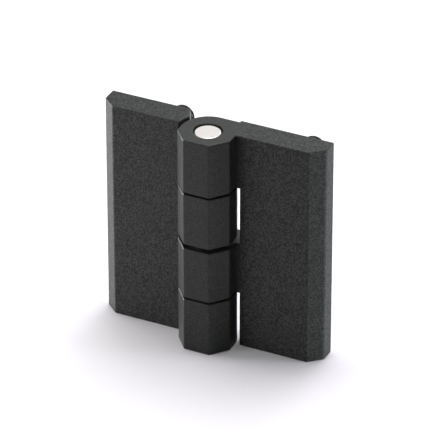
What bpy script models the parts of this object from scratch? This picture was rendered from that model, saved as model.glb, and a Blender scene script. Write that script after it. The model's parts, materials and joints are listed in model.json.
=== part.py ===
"""Zinc die-cast leaf hinge, 60 x 60 mm, with threaded studs, opened flat and standing on its lower edge.

Two leaves come out of the same die. One is the other turned half a turn about the front-to-back axis,
so their knuckles interleave along one steel pin. The right leaf holds the pin, pressed into its knuckles.
The left leaf turns on it, on two flanged plastic bushes whose flanges carry the weight between knuckles.
Every leaf has two steel studs pressed into bosses on its cored back.

Lengths are in metres. X runs along the leaves, Y points to the back of the hinge and Z is up, along the
pin. The castings are drawn about the pin: their own origin is on the pin's axis, at the lower edge.
"""

import math

import bmesh
import bpy
from mathutils import Vector

MM = 0.001

# Whole hinge
HEIGHT = 60.0 * MM
HALF_WIDTH = 30.0 * MM
MOUNTING_Y = 8.2 * MM
LEAF_THICKNESS = 7.4 * MM
FRONT_Y = MOUNTING_Y - LEAF_THICKNESS
BEVEL_X = 3.5 * MM
BEVEL_Y = 3.1 * MM
EDGE_RADIUS = 0.35 * MM
EDGE_STEPS = 2
SEAT_GAP = 0.25 * MM

# Knuckles: an octagon in front, a round back that runs out into a straight web
FLAT_Y = -6.8 * MM
FLAT_HALF = 3.5 * MM
SHOULDER_Y = -2.45 * MM
SIDE_X = 7.1 * MM
ROUND_RADIUS = SIDE_X
ROUND_CENTRE_Y = 0.35 * MM
ROUND_STEPS = 18
WEB_STEP_X = 5.0 * MM
KNUCKLE_GAP = 0.4 * MM
CENTRE_GAP = 1.1 * MM
QUARTER = HEIGHT / 4

# Notches that the other leaf's knuckles turn in
NOTCH_RADIUS = 8.2 * MM
NOTCH_STEPS = 5
RELIEF_START_Y = 4.4 * MM
RELIEF_END_X = 8.5 * MM

# Pin and bushes
PIN_RADIUS = 3.4 * MM
PIN_SINK = 0.3 * MM
PIN_CHAMFER = 0.25 * MM
PIN_SIDES = 64
PIN_BORE_RADIUS = 3.65 * MM
BORE_CHAMFER = 0.45 * MM
KNURL_HEIGHT = 0.12 * MM
PIN_KNURL_LENGTH = 9.0 * MM
PIN_KNURL_DEPTH = 2.0 * MM
BUSH_BORE_RADIUS = 3.47 * MM
BUSH_RADIUS = 4.3 * MM
BUSH_SEAT_RADIUS = 4.4 * MM
FLANGE_RADIUS = 5.7 * MM
FLANGE_THICKNESS = 0.8 * MM
FLANGE_PROUD = 0.1 * MM
FLANGE_SEAT_RADIUS = 5.9 * MM
BUSH_END_SINK = 0.3 * MM

# Studs, M6, and the bosses that hold them
STUD_X = 18.0 * MM
STUD_FROM_EDGE = 12.0 * MM
STUD_RADIUS = 3.0 * MM
STUD_REACH = 16.0 * MM
STUD_ROOT = 4.6 * MM
STUD_TIP_CHAMFER = 0.8 * MM
STUD_KNURL_RADIUS = 3.25 * MM
STUD_KNURL_DEPTH = 0.9 * MM
STUD_HOLE_RADIUS = 3.5 * MM
STUD_HOLE_DEPTH = 5.0 * MM
STUD_HOLE_CHAMFER = 0.4 * MM
STUD_SIDES = 48

# Cored pockets in the back
POCKET_DEPTH = 4.6 * MM
POCKET_DRAFT = 0.3 * MM
POCKET_ROUND_STEPS = 6
POCKET_LEFT_X = 10.6 * MM
POCKET_RIGHT_X = 27.4 * MM
POCKET_WIDTH = 4.2 * MM
POCKET_ROWS_FROM_MIDDLE = (3.6 * MM, 9.3 * MM)
END_POCKET_WIDTH = 2.8 * MM
END_POCKET_FROM_EDGE = 3.9 * MM
SIDE_POCKET_X = 26.0 * MM
SIDE_POCKET_HALF_LENGTH = 5.0 * MM

# A cutter starts this far outside the face that it cuts
CUT_OVERRUN = 1.0 * MM

# The hinge stands over the origin: half-way between the knuckles' front and the studs' tips
PIN_Y = -(FLAT_Y + MOUNTING_Y + STUD_REACH) / 2

COATED_ZINC = ("coated zinc", (0.045, 0.046, 0.047, 1.0), 0.62, 0.0)
BRIGHT_STEEL = ("bright steel", (0.72, 0.71, 0.69, 1.0), 0.30, 1.0)
BLACK_STEEL = ("black steel", (0.030, 0.030, 0.032, 1.0), 0.42, 1.0)
BEARING_PLASTIC = ("bearing plastic", (0.020, 0.020, 0.021, 1.0), 0.50, 0.0)


def clear_scene():
    """Remove the objects of the file that this runs in."""
    for item in list(bpy.data.objects):
        bpy.data.objects.remove(item, do_unlink=True)


def make_material(object_name, finish):
    """Return a Principled material of one finish, for one object."""
    label, color, roughness, metallic = finish
    material = bpy.data.materials.new(object_name + " " + label)
    material.use_nodes = True
    shader = material.node_tree.nodes["Principled BSDF"]
    shader.inputs["Base Color"].default_value = color
    shader.inputs["Roughness"].default_value = roughness
    shader.inputs["Metallic"].default_value = metallic
    return material


def add_object(name, mesh, finish=None):
    """Link a mesh as an object, with a material unless it is a cutter."""
    item = bpy.data.objects.new(name, mesh)
    bpy.context.scene.collection.objects.link(item)
    if finish is None:
        item.hide_render = True
        item.display_type = "WIRE"
    else:
        mesh.materials.append(make_material(name, finish))
    return item


def finish_mesh(bm, name, smooth_angle=None):
    """Turn a bmesh into a mesh with outward faces, shaded smooth below an angle if one is given."""
    bmesh.ops.recalc_face_normals(bm, faces=bm.faces)
    mesh = bpy.data.meshes.new(name)
    bm.to_mesh(mesh)
    bm.free()
    if smooth_angle is not None:
        mesh.shade_smooth()
        mesh.set_sharp_from_angle(angle=smooth_angle)
    return mesh


def arc_points(radius, start, end, steps, centre_y=0.0):
    """Points on an arc, both ends included. Angles are in radians from +X."""
    angles = [start + (end - start) * i / steps for i in range(steps + 1)]
    return [(radius * math.cos(angle), centre_y + radius * math.sin(angle)) for angle in angles]


def notch_curve():
    """The inner end of a leaf where the other leaf's knuckle turns, from the front face to the back.

    It follows the knuckle at a constant clearance and then leans away from it, towards the back.
    """
    front_angle = math.asin(FRONT_Y / NOTCH_RADIUS)
    relief_angle = math.asin(RELIEF_START_Y / NOTCH_RADIUS)
    return arc_points(NOTCH_RADIUS, front_angle, relief_angle, NOTCH_STEPS) + [(RELIEF_END_X, MOUNTING_Y)]


def knuckle_curve():
    """The knuckle's own outline, from the leaf's back, round the knuckle, to the leaf's front face."""
    back = [(WEB_STEP_X, MOUNTING_Y), (WEB_STEP_X, ROUND_CENTRE_Y + ROUND_RADIUS)]
    round_back = arc_points(ROUND_RADIUS, math.pi / 2, math.pi, ROUND_STEPS, ROUND_CENTRE_Y)
    front = [
        (-SIDE_X, SHOULDER_Y),
        (-FLAT_HALF, FLAT_Y),
        (FLAT_HALF, FLAT_Y),
        (SIDE_X, SHOULDER_Y),
        (SIDE_X, FRONT_Y),
    ]
    return back + round_back + front


def leaf_curve():
    """The rest of the leaf's section, from the front of the notch, round the outer end, to the back."""
    return [
        (HALF_WIDTH - BEVEL_X, FRONT_Y),
        (HALF_WIDTH, FRONT_Y + BEVEL_Y),
        (HALF_WIDTH, MOUNTING_Y),
    ]


def casting_mesh(name):
    """The bare casting: one section with knuckles and one with notches, stacked in four storeys.

    Both sections share the leaf and the two ends of the notch curve, so each storey's walls meet the
    next one's along the knuckles' end faces.
    """
    knuckle_low = QUARTER + KNUCKLE_GAP / 2
    knuckle_high = HEIGHT / 2 - CENTRE_GAP / 2
    end_knuckle_low = 3 * QUARTER + KNUCKLE_GAP / 2
    levels = [0.0, knuckle_low, knuckle_high, end_knuckle_low, HEIGHT]
    has_knuckle = [False, True, False, True]

    bm = bmesh.new()

    def column(points, heights):
        return {z: [bm.verts.new((x, y, z)) for x, y in points] for z in heights}

    notch = column(notch_curve(), levels)
    knuckle = column(knuckle_curve(), levels[1:])
    leaf = column(leaf_curve(), (0.0, HEIGHT))

    def wall(lower, upper):
        for i in range(len(lower) - 1):
            bm.faces.new((lower[i], lower[i + 1], upper[i + 1], upper[i]))

    for storey, low in enumerate(levels[:-1]):
        high = levels[storey + 1]
        if has_knuckle[storey]:
            ends = {z: [notch[z][-1]] + knuckle[z] + [notch[z][0]] for z in (low, high)}
            wall(ends[low], ends[high])
        else:
            wall(notch[low], notch[high])

    front_edge = [notch[z][0] for z in levels]
    back_edge = [notch[z][-1] for z in levels]
    bm.faces.new(front_edge + [leaf[HEIGHT][0], leaf[0.0][0]])
    wall(leaf[0.0], leaf[HEIGHT])
    bm.faces.new(back_edge + [leaf[HEIGHT][-1], leaf[0.0][-1]])

    for z in levels[1:-1]:
        bm.faces.new(notch[z] + knuckle[z])
    bm.faces.new(notch[0.0] + leaf[0.0][::-1])
    bm.faces.new([notch[HEIGHT][0]] + leaf[HEIGHT] + [notch[HEIGHT][-1]] + knuckle[HEIGHT])

    used = {vert for face in bm.faces for vert in face.verts}
    bmesh.ops.delete(bm, geom=[vert for vert in bm.verts if vert not in used], context="VERTS")
    bmesh.ops.recalc_face_normals(bm, faces=bm.faces)
    sharp = [edge for edge in bm.edges if edge.calc_face_angle(0.0) > math.radians(21.0)]
    bmesh.ops.bevel(
        bm,
        geom=sharp,
        offset=EDGE_RADIUS,
        offset_type="OFFSET",
        segments=EDGE_STEPS,
        profile=0.5,
        affect="EDGES",
        clamp_overlap=True,
    )
    return finish_mesh(bm, name, math.radians(30.0))


def turned_body(bm, stations, sides, axis_point, direction):
    """Add a closed turned solid to a bmesh.

    stations are (distance along the axis, radius, knurl height). A knurl lifts every second point of
    its ring, which makes straight ribs between two knurled rings.
    """
    along = Vector(direction).normalized()
    across = along.orthogonal().normalized()
    upward = along.cross(across)
    rings = []
    for distance, radius, knurl in stations:
        centre = Vector(axis_point) + along * distance
        ring = []
        for i in range(sides):
            reach = radius + (knurl if i % 2 else 0.0)
            angle = 2.0 * math.pi * i / sides
            ring.append(bm.verts.new(centre + across * reach * math.cos(angle) + upward * reach * math.sin(angle)))
        rings.append(ring)
    for lower, upper in zip(rings, rings[1:]):
        for i in range(sides):
            j = (i + 1) % sides
            bm.faces.new((lower[i], lower[j], upper[j], upper[i]))
    bm.faces.new(rings[0][::-1])
    bm.faces.new(rings[-1])


def turned_sleeve(bm, profile, sides):
    """Add a closed ring solid about the Z axis, from a closed profile of (radius, height) points."""
    rings = []
    for radius, height in profile:
        ring = []
        for i in range(sides):
            angle = 2.0 * math.pi * i / sides
            ring.append(bm.verts.new((radius * math.cos(angle), radius * math.sin(angle), height)))
        rings.append(ring)
    for lower, upper in zip(rings, rings[1:] + rings[:1]):
        for i in range(sides):
            j = (i + 1) % sides
            bm.faces.new((lower[i], lower[j], upper[j], upper[i]))


def slot_outline(centre, half_length, half_width, lengthwise):
    """A slot with round ends as (x, z) points. lengthwise is 'x' or 'z'."""
    straight = half_length - half_width
    points = []
    for side in (0, 1):
        for i in range(POCKET_ROUND_STEPS + 1):
            angle = -math.pi / 2 + math.pi * i / POCKET_ROUND_STEPS + side * math.pi
            end = straight if side == 0 else -straight
            long_way = end + half_width * math.cos(angle)
            short_way = half_width * math.sin(angle)
            if lengthwise == "x":
                points.append((centre[0] + long_way, centre[1] + short_way))
            else:
                points.append((centre[0] - short_way, centre[1] + long_way))
    return points


def add_pocket(bm, centre, half_length, half_width, lengthwise):
    """Add the cutter of one cored pocket: a drafted slot, wide at the back face and narrow at its floor."""
    floor_y = MOUNTING_Y - POCKET_DEPTH
    draft_at_start = POCKET_DRAFT * CUT_OVERRUN / POCKET_DEPTH
    mouth = slot_outline(centre, half_length + draft_at_start, half_width + draft_at_start, lengthwise)
    floor = slot_outline(centre, half_length - POCKET_DRAFT, half_width - POCKET_DRAFT, lengthwise)
    outer = [bm.verts.new((x, MOUNTING_Y + CUT_OVERRUN, z)) for x, z in mouth]
    inner = [bm.verts.new((x, floor_y, z)) for x, z in floor]
    count = len(outer)
    for i in range(count):
        j = (i + 1) % count
        bm.faces.new((outer[i], outer[j], inner[j], inner[i]))
    bm.faces.new(outer)
    bm.faces.new(inner)


def pocket_cutter():
    """All cored pockets of one leaf: rows between the bosses, one at each end, one beside each boss."""
    bm = bmesh.new()
    middle = HEIGHT / 2
    centre_x = (POCKET_LEFT_X + POCKET_RIGHT_X) / 2
    half_length = (POCKET_RIGHT_X - POCKET_LEFT_X) / 2
    for direction in (-1, 1):
        for offset in POCKET_ROWS_FROM_MIDDLE:
            row = (centre_x, middle + direction * offset)
            add_pocket(bm, row, half_length, POCKET_WIDTH / 2, "x")
        end_row = (centre_x, middle + direction * (middle - END_POCKET_FROM_EDGE))
        add_pocket(bm, end_row, half_length, END_POCKET_WIDTH / 2, "x")
        beside = (SIDE_POCKET_X, middle + direction * (middle - STUD_FROM_EDGE))
        add_pocket(bm, beside, SIDE_POCKET_HALF_LENGTH, END_POCKET_WIDTH / 2, "z")
    return add_object("pocket cutter", finish_mesh(bm, "pocket cutter"))


def stud_heights():
    """The heights of a leaf's two studs, lower one first."""
    return (STUD_FROM_EDGE, HEIGHT - STUD_FROM_EDGE)


def stud_hole_cutter():
    """The two blind holes that the studs are pressed into, with their chamfered mouths."""
    bm = bmesh.new()
    mouth_radius = STUD_HOLE_RADIUS + STUD_HOLE_CHAMFER
    for height in stud_heights():
        stations = [
            (-CUT_OVERRUN, mouth_radius + CUT_OVERRUN, 0.0),
            (STUD_HOLE_CHAMFER, STUD_HOLE_RADIUS, 0.0),
            (STUD_HOLE_DEPTH, STUD_HOLE_RADIUS, 0.0),
        ]
        turned_body(bm, stations, STUD_SIDES, (STUD_X, MOUNTING_Y, height), (0.0, -1.0, 0.0))
    return add_object("stud hole cutter", finish_mesh(bm, "stud hole cutter"))


def pin_bore_cutter():
    """The plain bore of the leaf that holds the pin, with a chamfer at its outer end."""
    bm = bmesh.new()
    stations = [
        (-CUT_OVERRUN, PIN_BORE_RADIUS, 0.0),
        (HEIGHT - BORE_CHAMFER, PIN_BORE_RADIUS, 0.0),
        (HEIGHT + CUT_OVERRUN, PIN_BORE_RADIUS + BORE_CHAMFER + CUT_OVERRUN, 0.0),
    ]
    turned_body(bm, stations, PIN_SIDES, (0.0, 0.0, 0.0), (0.0, 0.0, 1.0))
    return add_object("pin bore cutter", finish_mesh(bm, "pin bore cutter"))


def flange_seat_depth():
    """How deep a bush's flange is let into its knuckle."""
    return FLANGE_THICKNESS - FLANGE_PROUD + SEAT_GAP


def bush_bore_cutter():
    """The bore of the leaf that turns: the bushes' seats, each with a recess for the flange.

    The casting is drawn upside down here, so a recess is in the lower end of each knuckle.
    """
    bm = bmesh.new()
    inner_end = QUARTER + KNUCKLE_GAP / 2
    outer_end = 3 * QUARTER + KNUCKLE_GAP / 2
    stations = [
        (inner_end - CUT_OVERRUN, FLANGE_SEAT_RADIUS, 0.0),
        (inner_end + flange_seat_depth(), FLANGE_SEAT_RADIUS, 0.0),
        (inner_end + flange_seat_depth(), BUSH_SEAT_RADIUS, 0.0),
        (outer_end - CUT_OVERRUN, BUSH_SEAT_RADIUS, 0.0),
        (outer_end - CUT_OVERRUN, FLANGE_SEAT_RADIUS, 0.0),
        (outer_end + flange_seat_depth(), FLANGE_SEAT_RADIUS, 0.0),
        (outer_end + flange_seat_depth(), BUSH_SEAT_RADIUS, 0.0),
        (HEIGHT - BORE_CHAMFER, BUSH_SEAT_RADIUS, 0.0),
        (HEIGHT + CUT_OVERRUN, BUSH_SEAT_RADIUS + BORE_CHAMFER + CUT_OVERRUN, 0.0),
    ]
    turned_body(bm, stations, PIN_SIDES, (0.0, 0.0, 0.0), (0.0, 0.0, 1.0))
    return add_object("bush bore cutter", finish_mesh(bm, "bush bore cutter"))


def cut(item, cutter):
    """Cut one hidden object out of another with a Boolean modifier."""
    modifier = item.modifiers.new(cutter.name, "BOOLEAN")
    modifier.operation = "DIFFERENCE"
    modifier.solver = "EXACT"
    modifier.object = cutter


def place_on_pin(item, upside_down=False):
    """Stand an object drawn about the pin on the floor, or turn it half a turn about the Y axis."""
    if upside_down:
        item.location = (0.0, PIN_Y, HEIGHT)
        item.rotation_euler = (0.0, math.pi, 0.0)
    else:
        item.location = (0.0, PIN_Y, 0.0)


def build_leaf(name, bore_cutter, upside_down):
    """Make one leaf casting, with its bore, its stud holes and its cored back."""
    leaf = add_object(name, casting_mesh(name), COATED_ZINC)
    pockets = pocket_cutter()
    holes = stud_hole_cutter()
    for cutter in (bore_cutter, pockets, holes):
        cut(leaf, cutter)
        place_on_pin(cutter, upside_down)
    place_on_pin(leaf, upside_down)
    return leaf


def build_pin():
    """Make the hinge pin, knurled where it is pressed into the top knuckle."""
    bm = bmesh.new()
    low = PIN_SINK
    high = HEIGHT - PIN_SINK
    end_radius = PIN_RADIUS - PIN_CHAMFER
    knurl_high = high - PIN_KNURL_DEPTH
    knurl_low = knurl_high - PIN_KNURL_LENGTH
    stations = [
        (low, end_radius, 0.0),
        (low + PIN_CHAMFER, PIN_RADIUS, 0.0),
        (knurl_low, PIN_RADIUS, 0.0),
        (knurl_low + KNURL_HEIGHT, PIN_RADIUS, KNURL_HEIGHT),
        (knurl_high - KNURL_HEIGHT, PIN_RADIUS, KNURL_HEIGHT),
        (knurl_high, PIN_RADIUS, 0.0),
        (high - PIN_CHAMFER, PIN_RADIUS, 0.0),
        (high, end_radius, 0.0),
    ]
    turned_body(bm, stations, PIN_SIDES, (0.0, 0.0, 0.0), (0.0, 0.0, 1.0))
    pin = add_object("hinge_pin", finish_mesh(bm, "hinge_pin", math.radians(30.0)), BRIGHT_STEEL)
    place_on_pin(pin)


def build_bush(name, knuckle_top, bottom):
    """Make one flanged bush that hangs from the top of its knuckle."""
    flange_top = knuckle_top + FLANGE_PROUD
    flange_bottom = flange_top - FLANGE_THICKNESS
    profile = [
        (BUSH_BORE_RADIUS, bottom),
        (BUSH_RADIUS, bottom),
        (BUSH_RADIUS, flange_bottom),
        (FLANGE_RADIUS, flange_bottom),
        (FLANGE_RADIUS, flange_top),
        (BUSH_BORE_RADIUS, flange_top),
    ]
    bm = bmesh.new()
    turned_sleeve(bm, profile, PIN_SIDES)
    bush = add_object(name, finish_mesh(bm, name, math.radians(30.0)), BEARING_PLASTIC)
    place_on_pin(bush)


def build_stud(name, side, height):
    """Make one stud: a knurled root in the casting, and the threaded length that stands out of the back.

    The thread's form is left off: the radius is the thread's outer one.
    """
    tip_radius = STUD_RADIUS - STUD_TIP_CHAMFER
    rib_height = STUD_KNURL_RADIUS - STUD_RADIUS
    stations = [
        (-STUD_ROOT, STUD_RADIUS, 0.0),
        (-STUD_ROOT + rib_height, STUD_RADIUS, rib_height),
        (-STUD_KNURL_DEPTH - rib_height, STUD_RADIUS, rib_height),
        (-STUD_KNURL_DEPTH, STUD_RADIUS, 0.0),
        (STUD_REACH - STUD_TIP_CHAMFER, STUD_RADIUS, 0.0),
        (STUD_REACH, tip_radius, 0.0),
    ]
    bm = bmesh.new()
    turned_body(bm, stations, STUD_SIDES, (side * STUD_X, MOUNTING_Y, height), (0.0, 1.0, 0.0))
    stud = add_object(name, finish_mesh(bm, name, math.radians(30.0)), BLACK_STEEL)
    place_on_pin(stud)


def build_hinge():
    """Make every piece of the hinge."""
    clear_scene()
    build_leaf("right_leaf", pin_bore_cutter(), upside_down=False)
    build_leaf("left_leaf", bush_bore_cutter(), upside_down=True)
    build_pin()
    upper_top = 3 * QUARTER - KNUCKLE_GAP / 2
    upper_bottom = HEIGHT / 2 + CENTRE_GAP / 2 + BUSH_END_SINK
    build_bush("upper_bush", upper_top, upper_bottom)
    build_bush("lower_bush", QUARTER - KNUCKLE_GAP / 2, BUSH_END_SINK)
    for side, side_name in ((1, "right"), (-1, "left")):
        for height, height_name in zip(stud_heights(), ("lower", "upper")):
            build_stud(side_name + "_" + height_name + "_stud", side, height)


build_hinge()
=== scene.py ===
"""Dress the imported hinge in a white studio.

Two leaves from one die, a pin, two flanged bushes and four threaded studs stand for the frame's
nine nodes, each with its fine shape and its own finish. Lengths are in metres. The castings are
drawn about the pin, with their origin on its axis at the hinge's lower edge, and are then set where
the frame has them.
"""

import json
import logging
import math
from collections.abc import Sequence
from dataclasses import dataclass, field, replace
from enum import Enum
from typing import ClassVar

import bmesh
import bpy
from bmesh.types import BMesh
from bpy.types import Material, Mesh, Node, NodeSocket, NodeTree, Object
from mathutils import Matrix, Vector


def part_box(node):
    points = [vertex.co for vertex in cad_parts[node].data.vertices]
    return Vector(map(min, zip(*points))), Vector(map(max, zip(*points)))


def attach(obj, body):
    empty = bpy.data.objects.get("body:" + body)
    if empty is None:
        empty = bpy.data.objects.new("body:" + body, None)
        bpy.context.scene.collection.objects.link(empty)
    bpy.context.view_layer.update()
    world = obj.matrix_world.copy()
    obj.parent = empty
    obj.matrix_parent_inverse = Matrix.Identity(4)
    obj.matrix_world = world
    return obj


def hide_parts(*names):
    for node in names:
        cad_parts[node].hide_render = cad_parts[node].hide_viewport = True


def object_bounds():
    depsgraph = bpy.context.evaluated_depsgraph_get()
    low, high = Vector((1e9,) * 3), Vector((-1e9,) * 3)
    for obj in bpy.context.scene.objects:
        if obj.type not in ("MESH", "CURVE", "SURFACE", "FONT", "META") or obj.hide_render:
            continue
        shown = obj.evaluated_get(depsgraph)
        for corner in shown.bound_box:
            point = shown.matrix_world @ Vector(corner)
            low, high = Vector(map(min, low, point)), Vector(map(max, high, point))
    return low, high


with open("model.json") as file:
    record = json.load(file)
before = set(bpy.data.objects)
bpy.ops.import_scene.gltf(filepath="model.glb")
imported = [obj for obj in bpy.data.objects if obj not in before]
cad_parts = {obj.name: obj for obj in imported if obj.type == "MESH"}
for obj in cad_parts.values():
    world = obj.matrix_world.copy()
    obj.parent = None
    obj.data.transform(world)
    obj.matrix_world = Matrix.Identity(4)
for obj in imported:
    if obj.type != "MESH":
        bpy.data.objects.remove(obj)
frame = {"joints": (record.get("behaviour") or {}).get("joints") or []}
CAD_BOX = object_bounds()

LOG = logging.getLogger("hinge")
MM = 0.001
WELD_DISTANCE = 0.001 * MM
# A cutter's mouth ends a hair above the face it opens in, and its body runs on past that.
MOUTH_LIFT = 3 * WELD_DISTANCE
CUT_OVERRUN = 1.0 * MM
UP = Vector((0.0, 0.0, 1.0))
# Turns what is drawn along +Z so that it points out of the hinge's back.
UP_TO_BACK = Matrix.Rotation(-math.pi / 2, 4, "X")
IMAGE_PIXELS = 444
SENSOR_WIDTH = 36.0
LOOKED_AT = Vector((0.0, -7.0 * MM, 30.0 * MM))
WHITE = (1.0, 1.0, 1.0)
COOL = (0.88, 0.94, 1.0)
PATTERN = {"Height": "NodeSocketFloat", "Shade": "NodeSocketFloat"}

Point2 = tuple[float, float]
Colour = tuple[float, float, float]


class Side(Enum):
    """The two halves of the hinge, by the frame's body and leaf names."""

    RIGHT = "right"
    LEFT = "left"

    @property
    def body(self) -> str:
        """The frame's body that this half moves with."""
        return self.value + "_side"

    @property
    def leaf(self) -> str:
        """The frame's node of this half's casting."""
        return self.value + "_leaf"

    @property
    def sign(self) -> int:
        """Which way along X the leaf lies from the pin."""
        return 1 if self is Side.RIGHT else -1


class Ends(Enum):
    """How the first and last ring of a loft are closed."""

    CAPPED = "capped"
    LOOPED = "looped"


class Slot(Enum):
    """The record's material slots."""

    CASTING = "coated_zinc"
    PIN = "pin_steel"
    STUD = "stud_steel"
    BUSH = "bush_plastic"


def arc(
    radius: float, start: float, end: float, steps: int, centre: Point2 = (0.0, 0.0)
) -> list[Point2]:
    """Points along an arc, both ends included.

    Args:
        radius: The arc's radius.
        start: The angle of the first point, in degrees from the first axis.
        end: The angle of the last point, in degrees.
        steps: How many straight steps the arc has.
        centre: The arc's centre.

    Returns:
        The points, as pairs.
    """
    angles = [math.radians(start + (end - start) * i / steps) for i in range(steps + 1)]
    return [(centre[0] + radius * math.cos(a), centre[1] + radius * math.sin(a)) for a in angles]


def loft(bm: BMesh, rings: Sequence[Sequence[Vector]], ends: Ends) -> None:
    """Add a closed body that runs through rings of points.

    Args:
        bm: The mesh to add to.
        rings: Rings with the same number of points each.
        ends: Whether the end rings are capped or joined to each other.
    """
    rows = [[bm.verts.new(point) for point in ring] for ring in rings]
    following = rows[1:] + (rows[:1] if ends is Ends.LOOPED else [])
    for lower, upper in zip(rows, following):
        for i in range(len(lower)):
            j = (i + 1) % len(lower)
            bm.faces.new((lower[i], lower[j], upper[j], upper[i]))
    if ends is Ends.CAPPED:
        bm.faces.new(rows[0][::-1])
        bm.faces.new(rows[-1])


def turned_rings(profile: Sequence[Point2], sides: int) -> list[list[Vector]]:
    """Rings about the Z axis for a profile of (radius, height) points."""
    turn = [2.0 * math.pi * i / sides for i in range(sides)]
    return [[Vector((r * math.cos(a), r * math.sin(a), z)) for a in turn] for r, z in profile]


def mesh_of(bm: BMesh, name: str) -> Mesh:
    """Turn a bmesh into a mesh whose faces point outwards, and free it."""
    bmesh.ops.recalc_face_normals(bm, faces=bm.faces)
    mesh = bpy.data.meshes.new(name)
    bm.to_mesh(mesh)
    bm.free()
    return mesh


def link(name: str, mesh: Mesh) -> Object:
    """Add an object for a mesh to the scene."""
    item = bpy.data.objects.new(name, mesh)
    bpy.context.scene.collection.objects.link(item)
    return item


def evaluated_mesh(item: Object, name: str) -> Mesh:
    """A plain mesh of an object as its modifiers leave it."""
    bpy.context.view_layer.update()
    graph = bpy.context.evaluated_depsgraph_get()
    mesh = bpy.data.meshes.new_from_object(item.evaluated_get(graph), depsgraph=graph)
    mesh.name = name
    return mesh


def drop(*items: Object) -> None:
    """Remove helper objects from the file."""
    for item in items:
        bpy.data.objects.remove(item, do_unlink=True)


def carve(blank: Mesh, cutters: Sequence[Mesh], name: str) -> Mesh:
    """Cut several bodies out of a blank.

    Args:
        blank: The body that is cut.
        cutters: The bodies that are cut away.
        name: The new mesh's name.

    Returns:
        The cut mesh.
    """
    item = link(name + "_blank", blank)
    tools = [link(f"{name}_cutter_{i}", mesh) for i, mesh in enumerate(cutters)]
    for tool in tools:
        modifier = item.modifiers.new(tool.name, "BOOLEAN")
        modifier.operation = "DIFFERENCE"
        modifier.solver = "EXACT"
        modifier.object = tool
    mesh = evaluated_mesh(item, name)
    drop(item, *tools)
    return mesh


def soften(mesh: Mesh, crease: float) -> Mesh:
    """Shade a mesh smooth, with sharp creases kept and its flat faces left flat.

    Args:
        mesh: The mesh, which is used up.
        crease: The angle above which an edge stays sharp, in degrees.

    Returns:
        The mesh with weighted normals.
    """
    name = mesh.name
    mesh.shade_smooth()
    mesh.set_sharp_from_angle(angle=math.radians(crease))
    item = link(name + "_shading", mesh)
    modifier = item.modifiers.new("flat faces stay flat", "WEIGHTED_NORMAL")
    modifier.mode = "FACE_AREA"
    modifier.keep_sharp = True
    shaded = evaluated_mesh(item, name)
    drop(item)
    return shaded


@dataclass
class Wiring:
    """Short calls that add and link the nodes of one tree."""

    tree: NodeTree

    def feed(self, socket: NodeSocket, value: object) -> None:
        """Link a socket to another one, or set its value."""
        if isinstance(value, NodeSocket):
            self.tree.links.new(value, socket)
        else:
            socket.default_value = value

    def put(self, kind: str, values: dict | None = None, **settings: object) -> Node:
        """Add a node.

        Args:
            kind: The node's type.
            values: What each input is set or linked to, by its name or number.
            settings: The node's own options.

        Returns:
            The new node.
        """
        node = self.tree.nodes.new(kind)
        for name, value in settings.items():
            setattr(node, name, value)
        for key, value in (values or {}).items():
            self.feed(node.inputs[key], value)
        return node

    def math(self, operation: str, *operands: object, clamp: bool = False) -> NodeSocket:
        """The result of one Math node."""
        values = dict(enumerate(operands))
        node = self.put("ShaderNodeMath", values, operation=operation, use_clamp=clamp)
        return node.outputs[0]

    def blend(self, factor: object, low: object, high: object) -> NodeSocket:
        """A number between two others."""
        node = self.put("ShaderNodeMix", {0: factor, 2: low, 3: high}, data_type="FLOAT")
        return node.outputs[0]

    def tint(self, factor: object, low: object, high: object) -> NodeSocket:
        """A colour between two others."""
        node = self.put("ShaderNodeMix", {0: factor, 6: low, 7: high}, data_type="RGBA")
        return node.outputs[2]


def new_group(kind: str, name: str, inputs: dict, outputs: dict) -> tuple[Wiring, dict, Node]:
    """Start a node group with named sockets.

    Args:
        kind: The tree's type.
        name: The group's name.
        inputs: Each input's socket type and default value, by name.
        outputs: Each output's socket type, by name.

    Returns:
        The group's wiring, its input sockets by name, and its output node.
    """
    tree = bpy.data.node_groups.new(name, kind)
    for label, (socket_type, default) in inputs.items():
        socket = tree.interface.new_socket(label, in_out="INPUT", socket_type=socket_type)
        if default is not None:
            socket.default_value = default
    for label, socket_type in outputs.items():
        tree.interface.new_socket(label, in_out="OUTPUT", socket_type=socket_type)
    wiring = Wiring(tree)
    source = wiring.put("NodeGroupInput")
    return wiring, {label: source.outputs[label] for label in inputs}, wiring.put("NodeGroupOutput")


def new_material(name: str) -> tuple[Material, Wiring, Node]:
    """Start a material, and give its wiring and its Principled shader."""
    material = bpy.data.materials.new(name)
    material.use_nodes = True
    tree = material.node_tree
    return material, Wiring(tree), tree.nodes["Principled BSDF"]


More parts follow.
